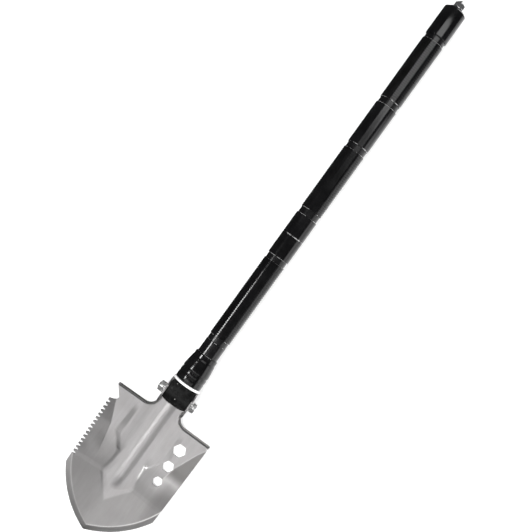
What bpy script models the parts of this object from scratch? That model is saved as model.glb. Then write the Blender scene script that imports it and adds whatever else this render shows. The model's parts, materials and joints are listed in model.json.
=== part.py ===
"""Camp shovel: a stamped steel blade that folds on a hinge block, a lock nut that holds it at set
angles, and a handle of three screwed aluminium tubes that ends in a cap with a glass breaker.

The handle lies along +X and the blade points to -X. The blade folds about the Y axis through the
pivot bolt. Distances called x are measured from the pivot, and z from the handle's centre line.
Units are metres.
"""

import math

import bmesh
import bpy
from mathutils import Matrix, Vector

# The whole object
BLADE_TIP = -0.2141
BREAKER_TIP = 0.6246
SHEET = 0.0022
GAP = 0.0003

# Blade outline
HALF_WIDTH = 0.0725
SHOULDER_X = -0.0320
CORNER_X = -0.1537
CORNER_HALF_WIDTH = 0.0691
TIP_ARC_RADIUS = 0.1400
NECK_HALF_WIDTH = 0.0190
NECK_FILLET = 0.0125
TONGUE_END = 0.0100

# Saw edge and hook notch, on the +Y side. The hook's points are (x, depth below the edge); a
# tooth's points are shares of the pitch and of the depth.
HOOK = ((-0.0350, 0.0), (-0.0430, 0.0060), (-0.0479, 0.0103), (-0.0514, 0.0103),
        (-0.0547, 0.0055), (-0.0552, 0.0))
SAW_START = -0.0567
TOOTH_COUNT = 15
TOOTH_PITCH = 0.00565
TOOTH_DEPTH = 0.0045
TOOTH = ((0.30, 0.0), (0.42, 1.0), (0.80, 1.0), (0.95, 0.0))

# Wrench holes, on the -Y side
HEX_ROW_Y = -0.0432
HEX_HOLES = ((-0.0598, 0.016), (-0.0849, 0.014), (-0.1085, 0.012))

# Pressed surface of the blade. Near the shoulders it has a sunk shaft, a terrace on either side
# and wings bent up along a crease; lower down the sides rise from a flat arrowhead like a spoon.
# Outlines are (x, half width) and flanks are (x, width).
FLOOR_Z = -0.0239
FLOOR_RISE = 0.0035
FLOOR_FLAT_END = -0.0600
ARROW = ((0.0100, 0.0190), (-0.0190, 0.0190), (-0.0320, 0.0135), (-0.0950, 0.0135),
         (-0.1080, 0.0175), (-0.1200, 0.0180), (-0.1348, 0.0215), (-0.1400, 0.0205),
         (-0.1660, 0.0), (-0.2100, -0.0300))
ARROW_FLANK = ((-0.0190, 0.0040), (-0.0320, 0.0120), (-0.0950, 0.0120), (-0.1080, 0.0050),
               (-0.1200, 0.0045), (-0.1348, 0.0040))
ARROW_STEP = 0.0008
TERRACE = ((-0.0400, 0.0315), (-0.0860, 0.0315), (-0.1020, 0.0195), (-0.1200, -0.0200))
TERRACE_FLANK = 0.0070
TERRACE_STEP = 0.0007
TERRACE_START = -0.0370
TERRACE_RUN = 0.0220
CREASE = ((-0.0320, 0.0725), (-0.0400, 0.0705), (-0.0510, 0.0640), (-0.0820, 0.0505),
          (-0.1032, 0.0460), (-0.1400, 0.0386))
WING_SLOPE = 0.22
SIDE_RISE = 0.0030
LOW_SLOPE = 0.11
LOW_ROUNDING = 0.0060
LOW_START = -0.0950
LOW_END = -0.1330
RIB_HEIGHT = 0.0014
RIB_HALF_WIDTH = 0.0088
RIB_START = -0.0040
RIB_END = -0.1340
RIB_RUNOUT = 0.0120
EDGE_BEVEL = 0.0070
EDGE_THICKNESS = 0.0008
RIM_WIDTH = 0.0024
RIM_TOP = -0.0155
GRID_X = (0.0120, -0.0040, -0.0190, -0.0320, -0.0400, -0.0500, -0.0600, -0.0720, -0.0860,
          -0.0950, -0.1020, -0.1110, -0.1200, -0.1280, -0.1348, -0.1400, -0.1460, -0.1530,
          -0.1600, -0.1680, -0.1780, -0.1890, -0.2010, -0.2160)
GRID_HALF_Y = (0.0, 0.0044, 0.0088, 0.0135, 0.0175, 0.0215, 0.0255, 0.0315, 0.0385, 0.0466,
               0.0540, 0.0610, 0.0680, 0.0740)

# Ears and pivot
EAR_INNER = 0.0177
EAR_OUTER = 0.0199
EAR_RADIUS = 0.0187
EAR_FLAT = 0.0176
EAR_SIDES = 8
EAR_SIDES_SHOWN = 5
BOLT_RADIUS = 0.0040
BOLT_HOLE = 0.0043
HEX_HEAD_FLATS = 0.0130
WASHER_RADIUS = 0.0070
WASHER_THICKNESS = 0.0015
HEAD_HEIGHT = 0.0055
PIVOT_NUT_HEIGHT = 0.0060
BOLT_END_Y = 0.0292
BUSH_RADIUS = 0.0060

# Hinge block and its threaded stem
BLOCK_HALF_WIDTH = 0.0174
BLOCK_HALF_HEIGHT = 0.0145
BLOCK_NOSE = -0.0128
BLOCK_NOSE_RADIUS = 0.0386
BLOCK_BACK = 0.0174
STEM_THREAD_RADIUS = 0.0140
STEM_PLUG_RADIUS = 0.0116
STEM_PLUG_END = 0.1050
STEM_BORE = 0.0070
STEM_BORE_START = 0.0300
STEM_PIN_X = 0.0980
STEM_PIN_RADIUS = 0.0020
STEM_PIN_INSET = 0.0002

# Pressure ring and lock nut, backed off from the ears
RING_FRONT = 0.0190
RING_THICKNESS = 0.0034
RING_RADIUS = 0.0199
RING_CHAMFER = 0.0006
NUT_BAND = 0.0186
NUT_CHAMFER = 0.0006
NUT_BACK = 0.0646
NUT_TAPER = ((0.0155, NUT_BACK), (0.0160, 0.0640), (0.0160, 0.0585), (0.0167, 0.0570),
             (0.0174, 0.0510), (0.0180, 0.0470), (NUT_BAND, 0.0420))
NUT_GROOVES = ((0.0390, 0.0378), (0.0319, 0.0309))
NUT_GROOVE_DEPTH = 0.0008
NUT_BORE = STEM_THREAD_RADIUS + GAP

# Handle: core tubes with collars and grips over them
CORE_RADIUS = 0.0138
CORE_BORE = 0.0119
SLEEVE_BORE = CORE_RADIUS + GAP
SLEEVE_CHAMFER = 0.0004
NECK_COLLAR = (0.0649, 0.0849, 0.0142)
LOWER_GRIP = (0.0925, 0.2118, 0.0149)
LOWER_COLLAR = (0.2195, 0.2519, 0.0150)
JOINT_COLLAR = (0.2522, 0.2829, 0.0150)
MIDDLE_GRIP = (0.2918, 0.3859, 0.0149)
MIDDLE_COLLAR = (0.3942, 0.4563, 0.0150)
UPPER_GRIP = (0.4646, 0.5574, 0.0149)
LOWER_TUBE = (0.0852, 0.2519)
MIDDLE_TUBE = (0.2522, 0.4563)
UPPER_TUBE = (0.4566, 0.5645)
TAIL_CAP = (0.5648, 0.6118, 0.0155)
CAP_CHAMFER_START = 0.6067
CAP_END_RADIUS = 0.0086
CAP_FRONT_CHAMFER = 0.0005

# Screwed joints between the tubes
INSERT_RADIUS = 0.0116
INSERT_LENGTH = 0.0250
SPIGOT_RADIUS = 0.0080
SPIGOT_LENGTH = 0.0160
SPIGOT_BORE = 0.0045
SPIGOT_CHAMFER = 0.0010
SEAL_RADIUS = 0.0092
SEAL_THICKNESS = 0.0018
SEAL_SEAT_RADIUS = 0.0104
SEAL_SEAT_DEPTH = 0.0026

# Glass breaker
BREAKER_FLATS = 0.0136
BREAKER_WAIST = 0.0063
BREAKER_HEX_START = 0.6132
BREAKER_HEX_END = 0.6180
BREAKER_STUD_RADIUS = 0.0030
BREAKER_STUD_START = 0.5980
BREAKER_BORE_START = 0.5960

# Fineness of round shapes, in flats to a turn or to an arc
ROUND_STEPS = 40
SMALL_STEPS = 28
PIN_STEPS = 16
PLAN_STEPS = 96
NOSE_STEPS = 16
TIP_STEPS = 12
FILLET_STEPS = 6
CORNER_STEPS = 2
SEAL_SIDES = 8

SHARP_ANGLE = math.radians(30)
MERGE = 0.00001
OVERLAP = 0.0010
CUTTER_MARGIN = 0.0020
PUNCH_LOW = -0.0500
PUNCH_HIGH = 0.0200
DRILL_REACH = 0.0300

PIVOT_X = -(BLADE_TIP + BREAKER_TIP) / 2
AXIS_Z = SHEET - FLOOR_Z

# name: (base colour, metallic, roughness)
FINISHES = {
    "blade_steel": ((0.42, 0.41, 0.39), 1.0, 0.38),
    "black_anodised": ((0.012, 0.012, 0.013), 0.6, 0.28),
    "black_oxide_steel": ((0.02, 0.02, 0.02), 0.9, 0.40),
    "polished_steel": ((0.65, 0.65, 0.66), 1.0, 0.15),
    "zinc_steel": ((0.50, 0.50, 0.50), 1.0, 0.30),
    "bare_aluminium": ((0.60, 0.60, 0.61), 1.0, 0.35),
    "bronze": ((0.45, 0.28, 0.12), 1.0, 0.35),
    "seal_rubber": ((0.01, 0.01, 0.01), 0.0, 0.60),
}


def clear_scene():
    for old in list(bpy.data.objects):
        bpy.data.objects.remove(old, do_unlink=True)


def collection(name):
    made = bpy.data.collections.new(name)
    bpy.context.scene.collection.children.link(made)
    return made


def finish_material(name):
    made = bpy.data.materials.get(name)
    if made:
        return made
    colour, metallic, roughness = FINISHES[name]
    made = bpy.data.materials.new(name)
    made.use_nodes = True
    shader = made.node_tree.nodes["Principled BSDF"]
    shader.inputs["Base Color"].default_value = (*colour, 1)
    shader.inputs["Metallic"].default_value = metallic
    shader.inputs["Roughness"].default_value = roughness
    return made


def empty(name, location, rotation, parts):
    """A guide that parts hang on: its place and turn carry over to its children."""
    made = bpy.data.objects.new(name, None)
    made.location = location
    made.rotation_euler = rotation
    parts.objects.link(made)
    return made


def add_object(name, mesh, finish, parent, parts):
    made = bpy.data.objects.new(name, mesh)
    made.parent = parent
    mesh.materials.append(finish_material(finish))
    parts.objects.link(made)
    return made


def helper(name, mesh, parent, cutters):
    made = bpy.data.objects.new(name, mesh)
    made.parent = parent
    made.hide_render = True
    made.display_type = "WIRE"
    cutters.objects.link(made)
    return made


def boolean(target, operation, tool):
    modifier = target.modifiers.new(operation.lower() + "_" + tool.name, "BOOLEAN")
    modifier.operation = operation
    modifier.object = tool
    modifier.solver = "EXACT"


def smooth_mesh(mesh):
    mesh.shade_smooth()
    mesh.set_sharp_from_angle(angle=SHARP_ANGLE)


def freeze(made):
    """Applies the object's modifiers, so that its round faces can be shaded smooth."""
    bpy.context.view_layer.update()
    graph = bpy.context.evaluated_depsgraph_get()
    mesh = bpy.data.meshes.new_from_object(made.evaluated_get(graph))
    made.modifiers.clear()
    made.data = mesh
    smooth_mesh(mesh)
    return made


def turned_mesh(name, profile, closed, steps):
    """The mesh of a profile of (radius, height) points turned about local Z. The profile runs down
    the outer side; a tube's profile then runs up its bore and closes."""
    outline = bpy.data.meshes.new(name + "_profile")
    count = len(profile)
    edges = [(i, (i + 1) % count) for i in range(count if closed else count - 1)]
    outline.from_pydata([(radius, 0, height) for radius, height in profile], edges, [])
    source = bpy.data.objects.new(name + "_profile", outline)
    bpy.context.scene.collection.objects.link(source)
    screw = source.modifiers.new("turn", "SCREW")
    screw.steps = steps
    screw.render_steps = steps
    screw.use_merge_vertices = True
    screw.merge_threshold = MERGE
    bpy.context.view_layer.update()
    graph = bpy.context.evaluated_depsgraph_get()
    mesh = bpy.data.meshes.new_from_object(source.evaluated_get(graph))
    bpy.data.objects.remove(source, do_unlink=True)
    bpy.data.meshes.remove(outline)
    mesh.name = name
    smooth_mesh(mesh)
    return mesh


def tube_profile(outer, bore, start, end, chamfer=0.0):
    """A straight tube's wall, with a chamfer on both outer rims."""
    if not chamfer:
        return [(outer, end), (outer, start), (bore, start), (bore, end)]
    return [(outer - chamfer, end), (outer, end - chamfer), (outer, start + chamfer),
            (outer - chamfer, start), (bore, start), (bore, end)]


def prism_mesh(name, outline, low, high):
    """A flat outline of (x, y) points, filled and extruded from low to high along local Z."""
    curve = bpy.data.curves.new(name + "_outline", "CURVE")
    curve.dimensions = "2D"
    curve.fill_mode = "BOTH"
    curve.extrude = (high - low) / 2
    spline = curve.splines.new("POLY")
    spline.points.add(len(outline) - 1)
    for point, (x, y) in zip(spline.points, outline):
        point.co = (x, y, 0, 1)
    spline.use_cyclic_u = True
    source = bpy.data.objects.new(name + "_outline", curve)
    bpy.context.scene.collection.objects.link(source)
    bpy.context.view_layer.update()
    graph = bpy.context.evaluated_depsgraph_get()
    mesh = bpy.data.meshes.new_from_object(source.evaluated_get(graph))
    bpy.data.objects.remove(source, do_unlink=True)
    bpy.data.curves.remove(curve)
    mesh.name = name
    mesh.transform(Matrix.Translation((0, 0, (low + high) / 2)))
    shape = bmesh.new()
    shape.from_mesh(mesh)
    bmesh.ops.remove_doubles(shape, verts=shape.verts, dist=MERGE)
    bmesh.ops.recalc_face_normals(shape, faces=shape.faces)
    bmesh.ops.triangulate(shape, faces=shape.faces)
    shape.to_mesh(mesh)
    shape.free()
    return mesh


def cylinder_mesh(name, radius, low, high, steps):
    mesh = bpy.data.meshes.new(name)
    shape = bmesh.new()
    bmesh.ops.create_cone(shape, cap_ends=True, segments=steps, radius1=radius, radius2=radius,
                          depth=high - low)
    bmesh.ops.translate(shape, verts=shape.verts, vec=(0, 0, (low + high) / 2))
    shape.to_mesh(mesh)
    shape.free()
    smooth_mesh(mesh)
    return mesh


def hexagon_mesh(name, flats, low, high, turn=0.0):
    """A hexagonal bar along local Z; unturned, two of its corners lie on local Y."""
    mesh = cylinder_mesh(name, flats / math.sqrt(3), low, high, 6)
    mesh.transform(Matrix.Rotation(turn, 4, "Z"))
    return mesh


def arc_points(centre, radius, start, end, count):
    """Points on a circle from the start angle to the end angle, both included, in radians."""
    points = []
    for i in range(count + 1):
        angle = start + (end - start) * i / count
        points.append((centre[0] + radius * math.cos(angle), centre[1] + radius * math.sin(angle)))
    return points


def between(stations, x):
    """The value at x of a line through (x, value) stations that run towards -X. It holds the
    first value before the stations and the last value after them."""
    if x >= stations[0][0]:
        return stations[0][1]
    for (x1, value1), (x2, value2) in zip(stations, stations[1:]):
        if x >= x2:
            return value1 + (value2 - value1) * (x - x1) / (x2 - x1)
    return stations[-1][1]


def clamp(value):
    return min(1.0, max(0.0, value))


def ease(value):
    value = clamp(value)
    return value * value * (3 - 2 * value)


def tip_arc_centre():
    """Centre of the +Y cutting edge's arc, which runs from the side corner to the tip."""
    corner = Vector((CORNER_X, CORNER_HALF_WIDTH))
    tip = Vector((BLADE_TIP, 0))
    chord = tip - corner
    inward = Vector((-chord.y, chord.x)).normalized()
    if inward.x < 0:
        inward = -inward
    drop = math.sqrt(TIP_ARC_RADIUS ** 2 - (chord.length / 2) ** 2)
    return (corner + tip) / 2 + inward * drop


def front_z(x, y):
    """Height of the blade's front face at a point, before the edges are ground."""
    side = abs(y)
    floor = FLOOR_Z + FLOOR_RISE * clamp((FLOOR_FLAT_END - x) / (FLOOR_FLAT_END - BLADE_TIP))
    low = ease((LOW_START - x) / (LOW_START - LOW_END))
    dish = SIDE_RISE * (side / HALF_WIDTH) ** 2
    terrace = ease((side - between(TERRACE, x)) / TERRACE_FLANK)
    terrace *= ease((TERRACE_START - x) / TERRACE_RUN)
    top = max(0.0, side - between(CREASE, x)) * WING_SLOPE
    top += ARROW_STEP + TERRACE_STEP * terrace
    out_of_arrow = ease((side - between(ARROW, x)) / between(ARROW_FLANK, x))
    reach = max(0.0, math.hypot(side, LOW_ROUNDING) - between(ARROW, x))
    height = floor + (dish + top * (1 - low)) * out_of_arrow + LOW_SLOPE * reach * low
    if side < RIB_HALF_WIDTH:
        run = ease((RIB_START - x) / RIB_RUNOUT) * ease((x - RIB_END) / RIB_RUNOUT + 1)
        height += RIB_HEIGHT * run * (1 + math.cos(math.pi * side / RIB_HALF_WIDTH)) / 2
    return height


def back_z(x, y):
    return front_z(x, y) - SHEET


def ground_z(x, y):
    """The front face with its ground cutting edges."""
    return front_z(x, y) - edge_thinning(x, y)


def rim_low_z(x, y):
    return front_z(x, y) - SHEET / 2


def rim_high_z(x, y):
    return max(RIM_TOP, front_z(x, y) + SHEET)


def edge_thinning(x, y):
    """How much the ground bevel takes off the front face near the cutting edges."""
    centre = tip_arc_centre()
    from_centre = math.hypot(x - centre.x, abs(y) - centre.y)
    inside = TIP_ARC_RADIUS - from_centre
    return (SHEET - EDGE_THICKNESS) * clamp(1 - inside / EDGE_BEVEL)


def pressed_slab(name, top, bottom):
    """A sheet over the grid of stations, between two height functions."""
    half = list(GRID_HALF_Y)
    ys = [-y for y in reversed(half[1:])] + half
    xs = list(GRID_X)
    mesh = bpy.data.meshes.new(name)
    shape = bmesh.new()
    bmesh.ops.create_grid(shape, x_segments=len(xs) - 1, y_segments=len(ys) - 1, size=1)
    for vert in shape.verts:
        column = round((1 - vert.co.x) / 2 * (len(xs) - 1))
        row = round((vert.co.y + 1) / 2 * (len(ys) - 1))
        vert.co = (xs[column], ys[row], 0)
    upper = bmesh.ops.extrude_face_region(shape, geom=list(shape.faces))
    raised = {item for item in upper["geom"] if isinstance(item, bmesh.types.BMVert)}
    for vert in shape.verts:
        height = top if vert in raised else bottom
        vert.co.z = height(vert.co.x, vert.co.y)
    bmesh.ops.triangulate(shape, faces=shape.faces)
    bmesh.ops.recalc_face_normals(shape, faces=shape.faces)
    shape.to_mesh(mesh)
    shape.free()
    return mesh


def edge_y(x):
    """The +Y side of the blade before the saw is cut: a straight, slightly tapering line."""
    return between(((SHOULDER_X, HALF_WIDTH), (CORNER_X, CORNER_HALF_WIDTH)), x)


def saw_edge():
    """The +Y edge from the shoulder corner to the last tooth: hook, notch and teeth."""
    points = [(SHOULDER_X, HALF_WIDTH)]
    points += [(x, edge_y(x) - depth) for x, depth in HOOK]
    for tooth in range(TOOTH_COUNT):
        start = SAW_START - TOOTH_PITCH * tooth
        for along, depth in TOOTH:
            points.append((start - along * TOOTH_PITCH, edge_y(start) - depth * TOOTH_DEPTH))
    return points


def tip_edge():
    """Both cutting edges, from the +Y side corner round the tip to the -Y side corner."""
    centre = tip_arc_centre()
    start = math.atan2(CORNER_HALF_WIDTH - centre.y, CORNER_X - centre.x)
    end = math.atan2(-centre.y, BLADE_TIP - centre.x)
    if end < start:
        end += 2 * math.pi
    upper = arc_points(centre, TIP_ARC_RADIUS, start, end, TIP_STEPS)
    lower = [(x, -y) for x, y in reversed(upper[:-1])]
    return upper + lower


def neck_edge(inset=0.0):
    """The -Y top edge from the shoulder to the tongue, moved inwards by inset."""
    centre = (SHOULDER_X + NECK_FILLET, -(NECK_HALF_WIDTH + NECK_FILLET))
    radius = NECK_FILLET + inset
    return arc_points(centre, radius, math.pi, math.pi / 2, FILLET_STEPS)


def blade_outline():
    top = neck_edge()
    points = saw_edge() + tip_edge()
    points.append((SHOULDER_X, -HALF_WIDTH))
    points += top
    points += [(-EAR_FLAT, -NECK_HALF_WIDTH), (-EAR_FLAT, -EAR_OUTER), (TONGUE_END, -EAR_OUTER)]
    points += [(TONGUE_END, EAR_OUTER), (-EAR_FLAT, EAR_OUTER), (-EAR_FLAT, NECK_HALF_WIDTH)]
    points += [(x, -y) for x, y in reversed(top)]
    return points


def rim_outline():
    """The upturned edge that runs along one shoulder and round the neck fillet to the ear."""
    outer = [(SHOULDER_X, -HALF_WIDTH)] + neck_edge()
    inner = [(SHOULDER_X - RIM_WIDTH, -HALF_WIDTH)] + neck_edge(RIM_WIDTH)
    outer.append((-EAR_FLAT + OVERLAP, -NECK_HALF_WIDTH))
    inner.append((-EAR_FLAT + OVERLAP, -NECK_HALF_WIDTH + RIM_WIDTH))
    return outer + list(reversed(inner))


def ear_outline():
    """An ear seen along Y, as (x, z): eight flats with rounded corners, and a root on the web."""
    reach = math.acos(EAR_FLAT / EAR_RADIUS)
    pitch = 2 * math.pi / EAR_SIDES
    points = []
    for side in range(EAR_SIDES_SHOWN):
        middle = side * pitch
        points += arc_points((0, 0), EAR_RADIUS, middle - reach, middle + reach, 1)
        if side < EAR_SIDES_SHOWN - 1:
            corner = arc_points((0, 0), EAR_RADIUS, middle + reach, middle + pitch - reach,
                                CORNER_STEPS)
            points += corner[1:-1]
    root = FLOOR_Z - SHEET / 2
    points += [(-EAR_FLAT, root), (TONGUE_END - OVERLAP, root)]
    return points


def punch(name, outline, pivot, cutters):
    """An upright cutter that reaches through the whole pressed sheet."""
    return helper(name, prism_mesh(name, outline, PUNCH_LOW, PUNCH_HIGH), pivot, cutters)


def drill(name, radius, x, pivot, cutters):
    """A round cutter across the handle, along Y."""
    mesh = cylinder_mesh(name, radius, -DRILL_REACH, DRILL_REACH, SMALL_STEPS)
    made = helper(name, mesh, pivot, cutters)
    made.location = (x, 0, 0)
    made.rotation_euler = (math.radians(90), 0, 0)
    return made


def make_blade(pivot, parts, cutters):
    mesh = pressed_slab("blade", ground_z, back_z)
    blade = add_object("blade", mesh, "blade_steel", pivot, parts)
    boolean(blade, "INTERSECT", punch("blade_outline", blade_outline(), pivot, cutters))

    for side, mirror in (("right", 1), ("left", -1)):
        slab = pressed_slab("rim_" + side, rim_high_z, rim_low_z)
        rim = helper("rim_" + side, slab, pivot, cutters)
        points = [(x, y * mirror) for x, y in rim_outline()]
        boolean(rim, "INTERSECT", punch("rim_band_" + side, points, pivot, cutters))
        boolean(blade, "UNION", rim)

    for side, inner in (("right", -EAR_OUTER), ("left", EAR_INNER)):
        ear = helper("ear_" + side, prism_mesh("ear_" + side, ear_outline(), 0, SHEET), pivot,
                     cutters)
        ear.location = (0, inner + SHEET, 0)
        ear.rotation_euler = (math.radians(90), 0, 0)
        boolean(blade, "UNION", ear)

    boolean(blade, "DIFFERENCE", drill("ear_bolt_hole", BOLT_HOLE, 0, pivot, cutters))
    for number, (x, flats) in enumerate(HEX_HOLES, 1):
        name = f"wrench_hole_{number}"
        hole = helper(name, hexagon_mesh(name, flats, PUNCH_LOW, PUNCH_HIGH), pivot, cutters)
        hole.location = (x, HEX_ROW_Y, 0)
        boolean(blade, "DIFFERENCE", hole)
    return freeze(blade)


def make_hinge_block(pivot, axis, parts, cutters):
    """A block with a round nose, its threaded stem, and the plug that fills the lower tube."""
    nose_centre = BLOCK_NOSE + BLOCK_HALF_HEIGHT
    profile = arc_points((nose_centre, 0), BLOCK_HALF_HEIGHT, math.radians(90),
                         math.radians(270), NOSE_STEPS)
    profile += [(BLOCK_BACK, -BLOCK_HALF_HEIGHT), (BLOCK_BACK, BLOCK_HALF_HEIGHT)]
    mesh = prism_mesh("hinge_block", profile, -BLOCK_HALF_WIDTH, BLOCK_HALF_WIDTH)
    block = add_object("hinge_block", mesh, "black_oxide_steel", pivot, parts)
    block.rotation_euler = (math.radians(90), 0, 0)

    plan_mesh = cylinder_mesh("block_plan", BLOCK_NOSE_RADIUS, -DRILL_REACH, DRILL_REACH,
                              PLAN_STEPS)
    plan = helper("block_plan", plan_mesh, pivot, cutters)
    plan.location = (BLOCK_NOSE + BLOCK_NOSE_RADIUS, 0, 0)
    boolean(block, "INTERSECT", plan)

    stem_profile = [(0, STEM_PLUG_END), (STEM_PLUG_RADIUS, STEM_PLUG_END),
                    (STEM_PLUG_RADIUS, NUT_BACK), (STEM_THREAD_RADIUS, NUT_BACK),
                    (STEM_THREAD_RADIUS, BLOCK_BACK - OVERLAP), (0, BLOCK_BACK - OVERLAP)]
    stem = helper("stem", turned_mesh("stem", stem_profile, False, ROUND_STEPS), axis, cutters)
    boolean(block, "UNION", stem)

    bore = helper("stem_bore", cylinder_mesh("stem_bore", STEM_BORE, STEM_BORE_START,
                                             STEM_PLUG_END + CUTTER_MARGIN, SMALL_STEPS),
                  axis, cutters)
    boolean(block, "DIFFERENCE", bore)
    for name, x, radius in (("block_bush_hole", 0, BUSH_RADIUS + GAP),
                            ("stem_pin_hole", STEM_PIN_X, STEM_PIN_RADIUS + GAP)):
        boolean(block, "DIFFERENCE", drill(name, radius, x, pivot, cutters))
    return freeze(block)


def make_pivot_hardware(pivot, parts, cutters):
    """Everything on the pivot axis. Local Z of each piece lies along +Y."""
    along_y = (math.radians(-90), 0, 0)

    def on_axis(name, mesh, finish):
        made = add_object(name, mesh, finish, pivot, parts)
        made.rotation_euler = along_y
        return made

    washer_inner = EAR_OUTER + GAP
    washer_outer = washer_inner + WASHER_THICKNESS
    head_start = washer_outer + GAP
    bolt = on_axis("pivot_bolt", cylinder_mesh("pivot_bolt", BOLT_RADIUS, -head_start - OVERLAP,
                                               BOLT_END_Y, SMALL_STEPS), "zinc_steel")
    head_mesh = hexagon_mesh("bolt_head", HEX_HEAD_FLATS, -head_start - HEAD_HEIGHT, -head_start)
    head = helper("bolt_head", head_mesh, pivot, cutters)
    head.rotation_euler = along_y
    boolean(bolt, "UNION", head)
    freeze(bolt)

    nut_mesh = hexagon_mesh("pivot_nut", HEX_HEAD_FLATS, head_start, head_start + PIVOT_NUT_HEIGHT)
    nut = on_axis("pivot_nut", nut_mesh, "zinc_steel")
    boolean(nut, "DIFFERENCE", drill("pivot_nut_hole", BOLT_HOLE, 0, pivot, cutters))
    freeze(nut)

    rings = (
        ("bolt_washer", WASHER_RADIUS, -washer_outer, -washer_inner, "zinc_steel"),
        ("nut_washer", WASHER_RADIUS, washer_inner, washer_outer, "zinc_steel"),
        ("pivot_bush", BUSH_RADIUS, -BLOCK_HALF_WIDTH, BLOCK_HALF_WIDTH, "bronze"),
    )
    for name, radius, low, high, finish in rings:
        profile = tube_profile(radius, BOLT_HOLE, low, high)
        on_axis(name, turned_mesh(name, profile, True, SMALL_STEPS), finish)


def lock_nut_profile(front):
    """Three raised bands at the blade end, then a taper to a thin collar at the handle end."""
    points = list(NUT_TAPER)
    floor = NUT_BAND - NUT_GROOVE_DEPTH
    for end, start in NUT_GROOVES:
        points += [(NUT_BAND, end + NUT_GROOVE_DEPTH), (floor, end), (floor, start),
                   (NUT_BAND, start - NUT_GROOVE_DEPTH)]
    return points + [(NUT_BAND, front + NUT_CHAMFER), (NUT_BAND - NUT_CHAMFER, front),
                     (NUT_BORE, front), (NUT_BORE, NUT_BACK)]


def make_lock(axis, parts):
    ring_back = RING_FRONT + RING_THICKNESS
    ring = tube_profile(RING_RADIUS, NUT_BORE, RING_FRONT, ring_back, RING_CHAMFER)
    mesh = turned_mesh("pressure_ring", ring, True, ROUND_STEPS)
    add_object("pressure_ring", mesh, "polished_steel", axis, parts)
    mesh = turned_mesh("lock_nut", lock_nut_profile(ring_back + GAP), True, ROUND_STEPS)
    add_object("lock_nut", mesh, "black_anodised", axis, parts)


def make_sleeves(axis, parts):
    """Collars and grips that slide over the core tubes. The neck collar sits on the stem's plug."""
    sleeves = (
        ("neck_collar", NECK_COLLAR, CORE_BORE),
        ("lower_grip", LOWER_GRIP, SLEEVE_BORE),
        ("lower_collar", LOWER_COLLAR, SLEEVE_BORE),
        ("joint_collar", JOINT_COLLAR, SLEEVE_BORE),
        ("middle_grip", MIDDLE_GRIP, SLEEVE_BORE),
        ("middle_collar", MIDDLE_COLLAR, SLEEVE_BORE),
        ("upper_grip", UPPER_GRIP, SLEEVE_BORE),
    )
    for name, (start, end, radius), bore in sleeves:
        profile = tube_profile(radius, bore, start, end, SLEEVE_CHAMFER)
        mesh = turned_mesh(name, profile, True, ROUND_STEPS)
        add_object(name, mesh, "black_anodised", axis, parts)


def make_core_tubes(pivot, axis, parts, cutters):
    made = {}
    for name, (start, end) in (("lower_tube", LOWER_TUBE), ("middle_tube", MIDDLE_TUBE),
                               ("upper_tube", UPPER_TUBE)):
        profile = tube_profile(CORE_RADIUS, CORE_BORE, start, end)
        mesh = turned_mesh(name, profile, True, ROUND_STEPS)
        made[name] = add_object(name, mesh, "black_anodised", axis, parts)
    hole = drill("tube_pin_hole", STEM_PIN_RADIUS + GAP, STEM_PIN_X, pivot, cutters)
    boolean(made["lower_tube"], "DIFFERENCE", hole)
    freeze(made["lower_tube"])

    reach = CORE_RADIUS - STEM_PIN_INSET
    mesh = cylinder_mesh("stem_pin", STEM_PIN_RADIUS, -reach, reach, PIN_STEPS)
    pin = add_object("stem_pin", mesh, "zinc_steel", pivot, parts)
    pin.location = (STEM_PIN_X, 0, 0)
    pin.rotation_euler = (math.radians(90), 0, 0)


def socket_profile(tube_end):
    """A threaded insert at the end of a tube, with a seat for the seal in its mouth."""
    start = tube_end - INSERT_LENGTH
    bore = SPIGOT_RADIUS + GAP
    seat = tube_end - SEAL_SEAT_DEPTH
    return [(INSERT_RADIUS, tube_end), (INSERT_RADIUS, start), (bore, start), (bore, seat),
            (SEAL_SEAT_RADIUS, seat), (SEAL_SEAT_RADIUS, tube_end)]


def spigot_profile(tube_start):
    """The threaded spigot at the start of the next tube, with a body that fills the tube."""
    body_end = tube_start + INSERT_LENGTH
    nose = tube_start - SPIGOT_LENGTH
    return [(INSERT_RADIUS, body_end), (INSERT_RADIUS, tube_start), (SPIGOT_RADIUS, tube_start),
            (SPIGOT_RADIUS, nose + SPIGOT_CHAMFER), (SPIGOT_RADIUS - SPIGOT_CHAMFER, nose),
            (SPIGOT_BORE, nose), (SPIGOT_BORE, body_end)]


def seal_profile(tube_end):
    """A round seal's section, eight-sided, in the middle of its seat."""
    middle = tube_end - SEAL_SEAT_DEPTH / 2
    radius = SEAL_THICKNESS / 2
    turns = [-2 * math.pi * (i - 0.5) / SEAL_SIDES for i in range(SEAL_SIDES)]
    return [(SEAL_RADIUS + radius * math.cos(turn), middle + radius * math.sin(turn))
            for turn in turns]


def make_screwed_joints(axis, parts):
    joints = (
        ("lower_socket", "middle_spigot", "middle_seal", LOWER_TUBE[1], MIDDLE_TUBE[0]),
        ("middle_socket", "upper_spigot", "upper_seal", MIDDLE_TUBE[1], UPPER_TUBE[0]),
        ("upper_socket", None, "cap_seal", UPPER_TUBE[1], TAIL_CAP[0]),
    )
    for socket, spigot, seal, tube_end, tube_start in joints:
        mesh = turned_mesh(socket, socket_profile(tube_end), True, SMALL_STEPS)
        add_object(socket, mesh, "bare_aluminium", axis, parts)
        if spigot:
            mesh = turned_mesh(spigot, spigot_profile(tube_start), True, SMALL_STEPS)
            add_object(spigot, mesh, "bare_aluminium", axis, parts)
        mesh = turned_mesh(seal, seal_profile(tube_end), True, SMALL_STEPS)
        add_object(seal, mesh, "seal_rubber", axis, parts)


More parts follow.
